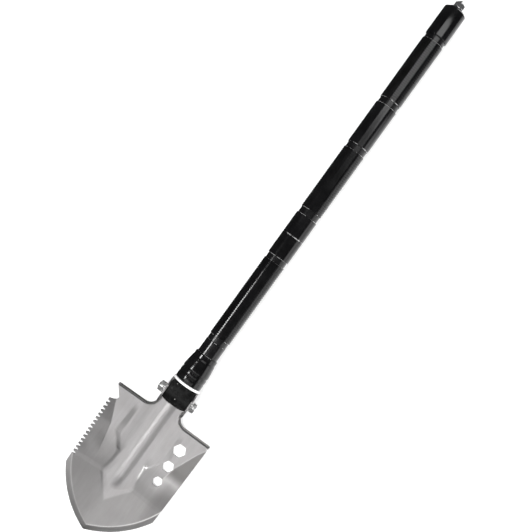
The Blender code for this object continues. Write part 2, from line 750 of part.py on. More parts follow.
def make_tail_cap(axis, parts):
    """The cap's own spigot screws into the upper tube; a bore runs right through it."""
    start, end, radius = TAIL_CAP
    nose = start - SPIGOT_LENGTH
    chamfer = CAP_FRONT_CHAMFER
    bore = BREAKER_STUD_RADIUS + GAP
    profile = [
        (CAP_END_RADIUS, end), (radius, CAP_CHAMFER_START), (radius, start + chamfer),
        (radius - chamfer, start), (SPIGOT_RADIUS, start), (SPIGOT_RADIUS, nose + SPIGOT_CHAMFER),
        (SPIGOT_RADIUS - SPIGOT_CHAMFER, nose), (SPIGOT_BORE, nose),
        (SPIGOT_BORE, BREAKER_BORE_START),
        (bore, BREAKER_BORE_START), (bore, end),
    ]
    mesh = turned_mesh("tail_cap", profile, True, ROUND_STEPS)
    add_object("tail_cap", mesh, "black_anodised", axis, parts)


def make_glass_breaker(axis, parts, cutters):
    """A hexagonal head with a pointed cone, on a round waist and a stud."""
    waist_end = BREAKER_HEX_START + OVERLAP
    profile = [(0, waist_end), (BREAKER_WAIST, waist_end),
               (BREAKER_WAIST, TAIL_CAP[1] + GAP), (BREAKER_STUD_RADIUS, TAIL_CAP[1] + GAP),
               (BREAKER_STUD_RADIUS, BREAKER_STUD_START), (0, BREAKER_STUD_START)]
    mesh = turned_mesh("glass_breaker", profile, False, SMALL_STEPS)
    breaker = add_object("glass_breaker", mesh, "polished_steel", axis, parts)

    head_mesh = hexagon_mesh("breaker_head", BREAKER_FLATS, BREAKER_HEX_START, BREAKER_TIP,
                             math.radians(30))
    head = helper("breaker_head", head_mesh, axis, cutters)
    corner = BREAKER_FLATS / math.sqrt(3)
    point_profile = [(0, BREAKER_TIP), (corner, BREAKER_HEX_END),
                     (corner, BREAKER_HEX_START - OVERLAP), (0, BREAKER_HEX_START - OVERLAP)]
    point = helper("breaker_point", turned_mesh("breaker_point", point_profile, False,
                                                SMALL_STEPS), axis, cutters)
    boolean(head, "INTERSECT", point)
    boolean(breaker, "UNION", head)
    freeze(breaker)


def main():
    clear_scene()
    parts = collection("camp_shovel")
    cutters = collection("cutters")
    cutters.hide_render = True
    place = (PIVOT_X, 0, AXIS_Z)
    pivot = empty("blade_pivot", place, (0, 0, 0), parts)
    axis = empty("handle_axis", place, (0, math.radians(90), 0), parts)
    make_blade(pivot, parts, cutters)
    make_pivot_hardware(pivot, parts, cutters)
    make_hinge_block(pivot, axis, parts, cutters)
    make_lock(axis, parts)
    make_sleeves(axis, parts)
    make_core_tubes(pivot, axis, parts, cutters)
    make_screwed_joints(axis, parts)
    make_tail_cap(axis, parts)
    make_glass_breaker(axis, parts, cutters)


main()
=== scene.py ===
"""The camp shovel's looks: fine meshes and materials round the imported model, on a pale floor.

Distances called x are measured along the handle from the blade's pivot, and z from the handle's
centre line, in metres. The blade points to -X and its hollow front faces +Z.
"""

import json
import math

import bmesh
import bpy
from mathutils import Matrix, Vector

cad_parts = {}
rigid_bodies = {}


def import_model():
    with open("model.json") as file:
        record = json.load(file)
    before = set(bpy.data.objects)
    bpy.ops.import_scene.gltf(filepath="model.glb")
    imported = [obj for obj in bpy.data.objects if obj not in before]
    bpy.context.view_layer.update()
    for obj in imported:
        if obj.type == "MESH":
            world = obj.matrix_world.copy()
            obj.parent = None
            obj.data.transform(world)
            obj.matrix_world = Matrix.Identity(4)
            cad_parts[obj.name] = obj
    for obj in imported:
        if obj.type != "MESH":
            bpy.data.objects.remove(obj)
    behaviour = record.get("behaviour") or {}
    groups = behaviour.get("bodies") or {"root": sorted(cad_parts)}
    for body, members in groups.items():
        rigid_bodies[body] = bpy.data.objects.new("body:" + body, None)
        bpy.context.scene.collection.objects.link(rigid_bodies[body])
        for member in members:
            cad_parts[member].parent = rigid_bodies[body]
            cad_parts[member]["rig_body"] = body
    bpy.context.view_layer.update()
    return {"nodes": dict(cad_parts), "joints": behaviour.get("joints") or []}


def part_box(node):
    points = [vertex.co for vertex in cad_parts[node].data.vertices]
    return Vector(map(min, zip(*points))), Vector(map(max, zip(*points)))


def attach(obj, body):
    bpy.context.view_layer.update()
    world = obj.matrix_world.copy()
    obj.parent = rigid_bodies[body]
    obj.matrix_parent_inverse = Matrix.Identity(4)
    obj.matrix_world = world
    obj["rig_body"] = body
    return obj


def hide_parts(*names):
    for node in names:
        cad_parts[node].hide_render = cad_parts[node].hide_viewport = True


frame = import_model()

# The pivot is the fold joint's own point
FOLD = next(joint for joint in frame["joints"] if joint["name"] == "blade_fold")
PIVOT = Vector(FOLD["pos_m"])

# Sheet and blade outline
SHEET = 0.0022
BLADE_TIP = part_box("blade")[0].x - PIVOT.x
HALF_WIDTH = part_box("blade")[1].y
SHOULDER_X = -0.0320
CORNER_X = -0.1537
CORNER_HALF_WIDTH = 0.0691
TIP_ARC_RADIUS = 0.1400
NECK_HALF_WIDTH = 0.0190
NECK_FILLET = 0.0125
TONGUE_END = 0.0100

# Saw edge. The hook's corners are (landmark, way on from it, depth below the edge there), and a
# tooth's are shares of its pitch and depth
NOTCH_START = -0.0385
NOTCH_BOTTOM = -0.0494
NOTCH_END = -0.0567
NOTCH_DEPTH = 0.0103
HOOK_BACK = 0.0035
HOOK = ((NOTCH_START, -0.0045, 0.0060), (NOTCH_BOTTOM, 0.0015, NOTCH_DEPTH),
        (NOTCH_BOTTOM, -0.0020, NOTCH_DEPTH), (NOTCH_END, 0.0020, 0.0055),
        (NOTCH_END, 0.0015, 0.0))
TOOTH_COUNT = 15
TOOTH_PITCH = 0.00565
TOOTH_DEPTH = 0.0045
TOOTH = ((0.30, 0.0), (0.42, 1.0), (0.80, 1.0), (0.95, 0.0))

# Wrench holes: (x, across flats)
HEX_ROW_Y = -0.0432
HEX_HOLES = ((-0.0598, 0.016), (-0.0849, 0.014), (-0.1085, 0.012))

# Pressed surface: a sunk shaft and arrowhead, a terrace on either side, and bent wings
FLOOR_Z = -0.0239
FLOOR_RISE = 0.0035
FLOOR_FLAT_END = -0.0600
INNER_STEP = 0.0008
OUTER_STEP = 0.0007
STEP_START = -0.0370
STEP_RUN = 0.0220
TOP_RISE = 0.0030
LOW_SLOPE = 0.11
LOW_ROUNDING = 0.0120
SIDE_CHANGE_START = -0.0950
SIDE_CHANGE_END = -0.1330
WING_SLOPE = 0.22
RIB_HEIGHT = 0.0014
RIB_HALF_WIDTH = 0.0088
RIB_START = -0.0040
RIB_END = -0.1300
RIB_RUNOUT = 0.0120
RIB_END_RUNOUT = 0.0200
EDGE_BEVEL = 0.0070
EDGE_THICKNESS = 0.0008
RIM_WIDTH = 0.0016
RIM_FILLET = 0.0012
RIM_TOP = -0.0155
ARROW = ((0.0100, 0.0190), (-0.0190, 0.0190), (-0.0320, 0.0135), (-0.0950, 0.0135),
         (-0.1080, 0.0175), (-0.1200, 0.0180), (-0.1348, 0.0215), (-0.1400, 0.0205),
         (-0.1660, 0.0), (-0.2100, -0.0300))
ARROW_FLANK = ((-0.0190, 0.0040), (-0.0320, 0.0120), (-0.0950, 0.0120), (-0.1080, 0.0050),
               (-0.1200, 0.0045), (-0.1348, 0.0040))
SAW_SIDE_FLANK = 1.5
BODY = ((-0.0400, 0.0315), (-0.0860, 0.0315), (-0.1020, 0.0195), (-0.1200, -0.0200))
BODY_FLANK = 0.0070
CREASE = ((-0.0320, 0.0725), (-0.0400, 0.0705), (-0.0510, 0.0640), (-0.0820, 0.0505),
          (-0.1032, 0.0460), (-0.1400, 0.0386))
GRID_STEP = 0.0010
PRESSED_TILT = 0.5
PRESSED_MATCH = 0.0001

# Tones painted on the blade, from 0 to 1, and the widths over which they fade: the dark rim, the
# ground bevel, painted highlights on the bevel's top and the arrow's waist, and painted shade on
# the terrace's flanks, the wings and the sides of the spoon
RIM_FADE = 0.0008
GROUND_FADE = 1.5
HIGHLIGHT_PAINT_WIDTH = 0.0012
HIGHLIGHT_PAINT_SAW_SIDE = 0.3
WAIST_OFFSET = 0.0015
WAIST_WIDTH = 0.0018
WAIST_START = -0.101
WAIST_START_RUN = 0.004
WAIST_END = -0.126
WAIST_END_RUN = 0.010
SAW_SIDE_BLEND = 0.05
SHADE_PAINT_FADE = 0.002
FLANK_MARGIN = 0.0015
FLANK_SPREAD = 0.0045
FLANK_SPREAD_START = -0.055
FLANK_SPREAD_RUN = 0.045
FLANK_DELAY = 0.004
FLANK_RUN = 0.012
FLANK_TONE = 0.30
FLANK_SAW_SIDE = 0.10
FLANK_LOSS = 0.7
FLANK_LOSS_START = -0.068
FLANK_LOSS_RUN = 0.016
WING_SAW_SIDE_LOSS = 0.92
SPOON_START = -0.086
SPOON_RUN = 0.022
SPOON_FADE = 0.004
SPOON_TONE = 0.36
SPOON_SAW_SIDE_LOSS = 0.03
SPOON_SIDE_TONE = 0.25
SPOON_SIDE_START = 0.045
SPOON_SIDE_RUN = 0.015

# Ears, pivot and block
GAP = 0.0003
OVERLAP = 0.0010
EAR_INNER = 0.0177
EAR_OUTER = 0.0199
EAR_RADIUS = 0.0187
EAR_FLAT = 0.0176
EAR_SIDES = 8
EAR_SIDES_SHOWN = 5
BOLT_RADIUS = 0.0040
BOLT_HOLE = 0.0043
HEX_TURNED = 0.86
HEX_TURNED_DROP = 0.0012
HEX_CLEAR = 0.0002
BLOCK_HALF_HEIGHT = 0.0145
BLOCK_NOSE_RADIUS = 0.0386
BLOCK_BACK = 0.0174
BUSH_HOLE = 0.0063
STEM_PIN_X = 0.0980
STEM_PIN_HOLE = 0.0023
STEM_THREAD_RADIUS = 0.0140
STEM_PLUG_RADIUS = 0.0116
STEM_BORE = 0.0070
STEM_BORE_START = 0.0300

# Ring and lock nut. The nut's taper is (r, x), and its grooves are (floor's r, back x, front x)
RING_CHAMFER = 0.0008
NUT_CHAMFER = 0.0006
NUT_END_RADIUS = 0.0155
NUT_TAPER = ((0.0160, 0.0585), (0.0167, 0.0570), (0.0174, 0.0510), (0.0180, 0.0470))
NUT_BAND_END = 0.0420
NUT_GROOVES = ((0.0177, 0.0390, 0.0378), (0.0179, 0.0319, 0.0309))

# Handle. A groove's section is (share of its width, share of its depth)
CORE_RADIUS = 0.0138
RIB_PITCH = 0.0030
RIB_DEPTH = 0.0006
GROOVE_WIDTH = 0.0014
GROOVE = ((0.5, 0), (0.35, 0.3), (0.15, 0.9), (-0.15, 0.9), (-0.35, 0.3), (-0.5, 0))
GRIP_LAND = 0.0014
SLEEVE_CHAMFER = 0.0004
SPIGOT_RADIUS = 0.0080
SPIGOT_BORE = 0.0045
SPIGOT_CHAMFER = 0.0010
CAP_END_RADIUS = 0.0086
CAP_END_TAPER = 0.0051
CAP_CHAMFER = 0.0005
CAP_BORE_END = 0.5960
BREAKER_STUD_RADIUS = 0.0030
BREAKER_WAIST = 0.0063
BREAKER_FLATS = 0.0136
BREAKER_HEX_START = 0.6132
BREAKER_HEX_END = 0.6180
BREAKER_POINT_RADIUS = 0.0006
BREAKER_POINT_DROP = 0.0003
BREAKER_FOOT = 0.9
BREAKER_FOOT_DROP = 0.0006
BREAKER_CLEAR = 0.0001

# How finely round shapes are divided
TURN_STEPS = 128
ROUNDING_STEPS = 3
HOLE_STEPS = 48
NOSE_STEPS = 48
ROUND_STEPS = 64
WASHER_STEPS = 96
PLAN_STEPS = 256
TIP_STEPS = 40
FILLET_STEPS = 20
EAR_CORNER_STEPS = 4
SHARP_ANGLE = math.radians(32)
MERGE_RADIUS = 1e-7

# Cutters reach from one side of what they cut to the other
PUNCH_LOW = -0.05
PUNCH_HIGH = 0.02
DRILL_REACH = 0.03
LONG_DRILL_REACH = 0.04

# Stage and camera, whose place is measured from the pivot
FLOOR_REACH = 4.0
FLOOR_THICKNESS = 0.01
WORLD_STRENGTH = 0.06
CAMERA_X = 0.202
CAMERA_Y = 0.0062
CAMERA_HEIGHT = 1.15
CAMERA_FIELD = 0.681
CAMERA_TURN = math.radians(-54.22)
CAMERA_SENSOR = 36


# Materials


class Shader:
    """A Principled material whose nodes are added and linked by short calls."""

    def __init__(self, name, colour, metallic, roughness):
        self.material = bpy.data.materials.new(name)
        self.material.use_nodes = True
        self.tree = self.material.node_tree
        self.principled = self.tree.nodes["Principled BSDF"]
        self.principled.inputs["Base Color"].default_value = (*colour, 1)
        self.principled.inputs["Metallic"].default_value = metallic
        self.principled.inputs["Roughness"].default_value = roughness
        self.coordinates = self.tree.nodes.new("ShaderNodeTexCoord").outputs["Object"]

    def node(self, kind, **inputs):
        made = self.tree.nodes.new(kind)
        for name, value in inputs.items():
            self.put(made.inputs[name.replace("_", " ")], value)
        return made

    def put(self, socket, value):
        if isinstance(value, bpy.types.NodeSocket):
            self.tree.links.new(value, socket)
        else:
            socket.default_value = value

    def stretched(self, scale):
        mapping = self.node("ShaderNodeMapping", Vector=self.coordinates)
        mapping.inputs["Scale"].default_value = scale
        return mapping.outputs["Vector"]

    def noise(self, scale, stretch=(1, 1, 1), detail=4.0, roughness=0.55):
        made = self.node("ShaderNodeTexNoise", Vector=self.stretched(stretch), Scale=scale,
                         Detail=detail, Roughness=roughness)
        return made.outputs["Fac"]

    def ramp(self, factor, low, high, start, end):
        made = self.node("ShaderNodeMapRange", Value=factor)
        made.inputs["From Min"].default_value = low
        made.inputs["From Max"].default_value = high
        made.inputs["To Min"].default_value = start
        made.inputs["To Max"].default_value = end
        return made.outputs["Result"]

    def mix(self, factor, first, second):
        made = self.tree.nodes.new("ShaderNodeMix")
        made.data_type = "RGBA"
        self.put(made.inputs["Factor"], factor)
        self.put(made.inputs["A"], first)
        self.put(made.inputs["B"], second)
        return made.outputs["Result"]

    def maths(self, operation, first, second=0.0):
        made = self.tree.nodes.new("ShaderNodeMath")
        made.operation = operation
        self.put(made.inputs[0], first)
        self.put(made.inputs[1], second)
        return made.outputs["Value"]

    def attribute(self, name):
        made = self.tree.nodes.new("ShaderNodeAttribute")
        made.attribute_name = name
        return made.outputs["Fac"]

    def colour(self, value):
        self.put(self.principled.inputs["Base Color"], value)

    def roughness(self, value):
        self.put(self.principled.inputs["Roughness"], value)

    def bump(self, *layers):
        """Each layer is (height, strength, distance in metres), laid on the one before."""
        normal = None
        for height, strength, distance in layers:
            made = self.node("ShaderNodeBump", Height=height, Strength=strength,
                             Distance=distance)
            if normal:
                self.put(made.inputs["Normal"], normal)
            normal = made.outputs["Normal"]
        self.put(self.principled.inputs["Normal"], normal)


def blade_steel():
    """Satin stainless sheet: faint lengthwise grain, cloudy polish, a few scratches."""
    shader = Shader("blade_steel", (0.52, 0.505, 0.49), 1.0, 0.36)
    grain = shader.noise(260, (0.12, 1, 1), 3, 0.6)
    cloud = shader.noise(22, (1, 1, 1), 3)
    scratches = shader.noise(90, (1, 0.05, 1), 4, 0.7)
    tone = shader.mix(shader.ramp(cloud, 0.35, 0.65, 0, 1), (0.50, 0.487, 0.488, 1),
                      (0.56, 0.548, 0.550, 1))
    tone = shader.mix(shader.ramp(grain, 0.3, 0.7, 0, 0.3), tone, (0.40, 0.388, 0.38, 1))
    # Painted shade: darker steel on the terrace's flanks, the wings and the sides of the spoon
    tone = shader.mix(shader.attribute("painted_shade"), tone, (0.16, 0.156, 0.152, 1))
    tone = shader.mix(shader.maths("MULTIPLY", shader.attribute("ground"), 0.35), tone,
                      (0.34, 0.335, 0.33, 1))
    # Painted highlight: near-white steel along the bevel's top and the arrow's waist
    tone = shader.mix(shader.attribute("painted_highlight"), tone, (0.90, 0.89, 0.88, 1))
    tone = shader.mix(shader.attribute("rim"), tone, (0.19, 0.187, 0.184, 1))
    shader.colour(tone)
    shader.roughness(shader.maths("ADD", shader.ramp(cloud, 0.3, 0.7, 0.30, 0.34),
                                  shader.ramp(grain, 0.3, 0.7, -0.015, 0.03)))
    shader.bump((grain, 0.025, 0.0001), (scratches, 0.004, 0.0001))
    return shader.material


def cut_steel():
    """Sheared and ground edges of the sheet: darker, with fine marks across the edge."""
    shader = Shader("cut_steel", (0.10, 0.098, 0.095), 0.9, 0.5)
    marks = shader.noise(900, (1, 1, 0.06), 5, 0.7)
    shader.colour(shader.mix(shader.ramp(marks, 0.3, 0.7, 0, 1), (0.05, 0.048, 0.046, 1),
                             (0.16, 0.155, 0.15, 1)))
    shader.roughness(shader.ramp(marks, 0.3, 0.7, 0.4, 0.6))
    shader.bump((marks, 0.25, 0.0002))
    return shader.material


def anodised(name, gloss, ior):
    """Black anodised aluminium: faint turning marks round the axis and handling marks."""
    shader = Shader(name, (0.003, 0.003, 0.0032), 0.0, gloss)
    shader.principled.inputs["IOR"].default_value = ior
    turning = shader.noise(700, (1, 0.05, 0.05), 4, 0.6)
    handling = shader.noise(45, (1, 1, 1), 5, 0.6)
    shader.colour(shader.mix(shader.ramp(handling, 0.4, 0.7, 0, 1),
                             (0.002, 0.002, 0.0022, 1), (0.0045, 0.0045, 0.0048, 1)))
    shader.roughness(shader.maths("ADD", shader.ramp(handling, 0.3, 0.7, gloss - 0.03,
                                                     gloss + 0.05),
                                  shader.ramp(turning, 0.3, 0.7, -0.015, 0.02)))
    shader.bump((turning, 0.03, 0.0001))
    return shader.material


def worn_black(name, cover):
    """Anodising rubbed through to bright aluminium on a sharp rim; cover is the bare share."""
    shader = Shader(name, (0.5, 0.5, 0.5), 1.0, 0.3)
    patches = shader.noise(160, (1, 1, 1), 4, 0.7)
    bare = shader.ramp(patches, 0.62 - 0.3 * cover, 0.70 - 0.3 * cover, 0, 1)
    shader.colour(shader.mix(bare, (0.004, 0.004, 0.004, 1), (0.88, 0.88, 0.88, 1)))
    shader.put(shader.principled.inputs["Metallic"], shader.maths("MULTIPLY", bare, 0.78))
    shader.roughness(shader.ramp(patches, 0.3, 0.7, 0.4, 0.6))
    shader.bump((patches, 0.05, 0.0001))
    return shader.material


def black_steel():
    """Black oxide on milled steel: slightly mottled and half glossy."""
    shader = Shader("black_steel", (0.004, 0.004, 0.004), 0.0, 0.25)
    shader.principled.inputs["IOR"].default_value = 1.25
    mottle = shader.noise(120, (1, 1, 1), 5, 0.65)
    milling = shader.noise(500, (0.08, 1, 0.08), 4, 0.6)
    chips = shader.ramp(shader.noise(330, (1, 1, 1), 2, 0.5), 0.715, 0.73, 0, 1)
    base = shader.mix(shader.ramp(mottle, 0.35, 0.65, 0, 1), (0.003, 0.003, 0.003, 1),
                      (0.008, 0.008, 0.008, 1))
    shader.colour(shader.mix(chips, base, (0.30, 0.29, 0.28, 1)))
    shader.roughness(shader.ramp(mottle, 0.3, 0.7, 0.18, 0.34))
    shader.bump((milling, 0.04, 0.0001), (mottle, 0.03, 0.0002))
    return shader.material


def metal(name, dark, light, rough, bare=1.0, scale=300, stretch=(1, 0.06, 0.06)):
    """A metal with turning marks and small changes of tone. A frosted or plated one is less
    bare."""
    shader = Shader(name, dark, bare, rough)
    marks = shader.noise(scale, stretch, 5, 0.65)
    cloud = shader.noise(60, (1, 1, 1), 3)
    shader.colour(shader.mix(shader.ramp(cloud, 0.3, 0.7, 0, 1), (*dark, 1), (*light, 1)))
    shader.roughness(shader.maths("ADD", shader.ramp(marks, 0.3, 0.7, rough - 0.04,
                                                     rough + 0.05),
                                  shader.ramp(cloud, 0.3, 0.7, -0.02, 0.03)))
    shader.bump((marks, 0.06, 0.0001))
    return shader.material


def rubber():
    """Matt black rubber with a fine grain."""
    shader = Shader("seal_rubber", (0.012, 0.012, 0.012), 0.0, 0.55)
    grain = shader.noise(1500, (1, 1, 1), 4, 0.6)
    shader.colour(shader.mix(grain, (0.008, 0.008, 0.008, 1), (0.02, 0.02, 0.02, 1)))
    shader.roughness(shader.ramp(grain, 0.3, 0.7, 0.45, 0.65))
    shader.bump((grain, 0.2, 0.0001))
    return shader.material


def floor_paper():
    """Matt white paper with hardly any grain."""
    shader = Shader("floor_paper", (0.92, 0.92, 0.92), 0.0, 0.9)
    fibre = shader.noise(400, (1, 1, 1), 4, 0.6)
    shader.colour(shader.mix(fibre, (0.93, 0.93, 0.93, 1), (0.95, 0.95, 0.95, 1)))
    shader.bump((fibre, 0.02, 0.0001))
    return shader.material


STEEL = blade_steel()
CUT = cut_steel()
GLOSS_BLACK = anodised("gloss_black", 0.12, 1.45)
GRIP_BLACK = anodised("grip_black", 0.14, 1.45)
CORE_BLACK = anodised("core_black", 0.22, 1.45)
WORN_RIM = worn_black("worn_rim", 0.42)
JOINT_RIM = worn_black("joint_rim", 0.5)
BLACK_STEEL = black_steel()
POLISHED = metal("polished_steel", (0.42, 0.42, 0.43), (0.62, 0.62, 0.63), 0.12, bare=0.92)
RING_STEEL = metal("ring_steel", (0.86, 0.86, 0.86), (0.92, 0.92, 0.92), 0.30, bare=0.35)
ZINC = metal("zinc_steel", (0.66, 0.66, 0.66), (0.80, 0.80, 0.79), 0.22, bare=0.85, scale=200,
             stretch=(1, 1, 1))
ALUMINIUM = metal("bare_aluminium", (0.62, 0.62, 0.63), (0.72, 0.72, 0.73), 0.30)
BRONZE = metal("bronze", (0.42, 0.25, 0.10), (0.52, 0.33, 0.15), 0.32)
RUBBER = rubber()


# Mesh helpers


def new_object(name, mesh, materials):
    """An object in the scene's collection, with its materials."""
    made = bpy.data.objects.new(name, mesh)
    for material in materials:
        mesh.materials.append(material)
    bpy.context.scene.collection.objects.link(made)
    return made


def smooth(mesh):
    """Smooth shading with sharp edges kept."""
    mesh.shade_smooth()
    mesh.set_sharp_from_angle(angle=SHARP_ANGLE)


def evaluated_mesh(source):
    bpy.context.view_layer.update()
    graph = bpy.context.evaluated_depsgraph_get()
    return bpy.data.meshes.new_from_object(source.evaluated_get(graph))


def place(piece, node):
    """The piece stands for the CAD node, which is hidden, and rides on its body."""
    body = frame["nodes"][node]["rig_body"]
    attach(piece, body)
    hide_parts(node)


def rounded(profile, radius, closed):
    """The profile of (r, x) points with its corners rounded."""
    made = []
    count = len(profile)
    for i, corner in enumerate(profile):
        if not closed and i in (0, count - 1):
            made.append(corner)
            continue
        here = Vector(corner)
        before = Vector(profile[i - 1]) - here
        after = Vector(profile[(i + 1) % count]) - here
        start = here + before.normalized() * min(radius, before.length * 0.4)
        end = here + after.normalized() * min(radius, after.length * 0.4)
        for step in range(ROUNDING_STEPS + 1):
            t = step / ROUNDING_STEPS
            point = start * (1 - t) ** 2 + here * 2 * t * (1 - t) + end * t ** 2
            made.append((point.x, point.y))
    return made


def lathe_mesh(name, profile, closed, worn=()):
    """Turns (r, x) points about the handle's axis, the outside running towards -X. The faces
    after the points numbered in worn take the piece's second material."""
    mesh = bpy.data.meshes.new(name)
    shape = bmesh.new()
    rings = []
    for radius, x in profile:
        ring = []
        for i in range(1 if radius < MERGE_RADIUS else TURN_STEPS):
            angle = 2 * math.pi * i / TURN_STEPS
            ring.append(shape.verts.new((PIVOT.x + x, PIVOT.y + radius * math.cos(angle),
                                         PIVOT.z + radius * math.sin(angle))))
        rings.append(ring)
    pairs = list(zip(rings, rings[1:]))
    if closed:
        pairs.append((rings[-1], rings[0]))
    for number, (first, second) in enumerate(pairs):
        for i in range(TURN_STEPS):
            j = (i + 1) % TURN_STEPS
            corners = [first[i % len(first)], first[j % len(first)],
                       second[j % len(second)], second[i % len(second)]]
            corners = list(dict.fromkeys(corners))
            if len(corners) > 2:
                face = shape.faces.new(corners)
                face.material_index = 1 if number in worn else 0
    bmesh.ops.recalc_face_normals(shape, faces=shape.faces)
    shape.to_mesh(mesh)
    shape.free()
    smooth(mesh)
    return mesh


def lathe(name, node, profile, closed, radius, material):
    mesh = lathe_mesh(name, rounded(profile, radius, closed), closed)
    place(new_object(name, mesh, [material]), node)


def prism_mesh(name, outline, low, high, material_index=0):
    """A flat outline of (x, y) points, extruded from low to high along Z."""
    mesh = bpy.data.meshes.new(name)
    shape = bmesh.new()
    corners = [shape.verts.new((x, y, low)) for x, y in outline]
    bottom = shape.faces.new(corners)
    top = bmesh.ops.extrude_face_region(shape, geom=[bottom])
    raised = [item for item in top["geom"] if isinstance(item, bmesh.types.BMVert)]
    bmesh.ops.translate(shape, verts=raised, vec=(0, 0, high - low))
    bmesh.ops.recalc_face_normals(shape, faces=shape.faces)
    for face in shape.faces:
        face.material_index = material_index
    bmesh.ops.triangulate(shape, faces=shape.faces)
    shape.to_mesh(mesh)
    shape.free()
    return mesh


def hexagon(flats, turn=0.0):
    radius = flats / math.sqrt(3)
    return [(radius * math.cos(turn + math.radians(60 * i)),
             radius * math.sin(turn + math.radians(60 * i))) for i in range(6)]


def circle(radius, steps):
    return arc_points((0, 0), radius, 0, 2 * math.pi, steps)[:-1]


def arc_points(centre, radius, start, end, count):
    points = []
    for i in range(count + 1):
        angle = start + (end - start) * i / count
        points.append((centre[0] + radius * math.cos(angle), centre[1] + radius * math.sin(angle)))
    return points


def tool(name, mesh, matrix, materials):
    """A shape for a Boolean, which is removed once the piece is finished."""
    made = new_object(name, mesh, materials)
    made.matrix_world = matrix
    made.hide_render = True
    return made


def boolean(target, operation, other):
    modifier = target.modifiers.new(operation.lower(), "BOOLEAN")
    modifier.operation = operation
    modifier.object = other
    modifier.solver = "EXACT"


def bevel(target, width, segments, angle=35):
    modifier = target.modifiers.new("bevel", "BEVEL")
    modifier.width = width
    modifier.segments = segments
    modifier.limit_method = "ANGLE"
    modifier.angle_limit = math.radians(angle)


def finish_piece(piece, node, tools):
    """Applies the modifiers and drops the tools, then hands the piece to its CAD body."""
    mesh = evaluated_mesh(piece)
    mesh.transform(piece.matrix_world)
    piece.modifiers.clear()
    piece.data = mesh
    piece.matrix_world = Matrix.Identity(4)
    smooth(mesh)
    for item in tools:
        bpy.data.objects.remove(item, do_unlink=True)
    place(piece, node)


def from_pivot(x=0.0, y=0.0, z=0.0, turn=0, axis="X"):
    """The frame of a shape placed from the pivot and turned by some degrees about its axis."""
    moved = Matrix.Translation(PIVOT + Vector((x, y, z)))
    return moved @ Matrix.Rotation(math.radians(turn), 4, axis)


# The blade's surface


def between(stations, x):
    """The value at x of a line through (x, value) stations that run towards -X."""
    if x >= stations[0][0]:
        return stations[0][1]
    for (x1, value1), (x2, value2) in zip(stations, stations[1:]):
        if x >= x2:
            return value1 + (value2 - value1) * (x - x1) / (x2 - x1)
    return stations[-1][1]


def clamp(value):
    return min(1.0, max(0.0, value))


def ease(value):
    value = clamp(value)
    return value * value * (3 - 2 * value)


def tip_arc_centre():
    corner = Vector((CORNER_X, CORNER_HALF_WIDTH))
    tip = Vector((BLADE_TIP, 0))
    chord = tip - corner
    inward = Vector((-chord.y, chord.x)).normalized()
    if inward.x < 0:
        inward = -inward
    drop = math.sqrt(TIP_ARC_RADIUS ** 2 - (chord.length / 2) ** 2)
    return (corner + tip) / 2 + inward * drop


ARC_CENTRE = tip_arc_centre()


def front_z(x, y):
    """Height of the blade's front face at a point, without its rim."""
    side = abs(y)
    floor = FLOOR_Z + FLOOR_RISE * clamp((FLOOR_FLAT_END - x) / (FLOOR_FLAT_END - BLADE_TIP))
    low = ease((SIDE_CHANGE_START - x) / (SIDE_CHANGE_START - SIDE_CHANGE_END))
    softer = SAW_SIDE_FLANK if y > 0 else 1
    out_of_arrow = ease((side - between(ARROW, x)) / between(ARROW_FLANK, x) / softer)
    out_of_body = ease((side - between(BODY, x)) / BODY_FLANK / softer)
    out_of_body *= ease((STEP_START - x) / STEP_RUN)
    dish = TOP_RISE * (side / HALF_WIDTH) ** 2
    top = max(0.0, side - between(CREASE, x)) * WING_SLOPE
    top += INNER_STEP + OUTER_STEP * out_of_body
    reach = max(0.0, math.hypot(side, LOW_ROUNDING) - between(ARROW, x))
    height = floor + (dish + top * (1 - low)) * out_of_arrow + LOW_SLOPE * reach * low
    if side < RIB_HALF_WIDTH:
        run = ease((RIB_START - x) / RIB_RUNOUT) * ease((x - RIB_END) / RIB_END_RUNOUT + 1)
        height += RIB_HEIGHT * run * (1 + math.cos(math.pi * side / RIB_HALF_WIDTH)) / 2
    return height


def tip_distance(x, y):
    """How far a point is inside the cutting edge."""
    return TIP_ARC_RADIUS - math.hypot(x - ARC_CENTRE.x, abs(y) - ARC_CENTRE.y)


def top_distance(x, y):
    """How far a point is inside the shoulder, the neck fillet or the neck's side."""
    side = abs(y)
    centre_x = SHOULDER_X + NECK_FILLET
    centre_y = NECK_HALF_WIDTH + NECK_FILLET
    if side >= centre_y:
        return SHOULDER_X - x
    if x >= centre_x:
        return NECK_HALF_WIDTH - side
    return math.hypot(x - centre_x, side - centre_y) - NECK_FILLET


def finished_z(x, y):
    """The front face with its ground bevel and the rim along the shoulders and the neck."""
    base = front_z(x, y)
    height = base - (SHEET - EDGE_THICKNESS) * clamp(1 - tip_distance(x, y) / EDGE_BEVEL)
    if x > -EAR_FLAT + OVERLAP:
        return height
    rim = max(RIM_TOP, base + SHEET) - base
    return height + rim * ease(1 - (top_distance(x, y) - RIM_WIDTH) / RIM_FILLET)


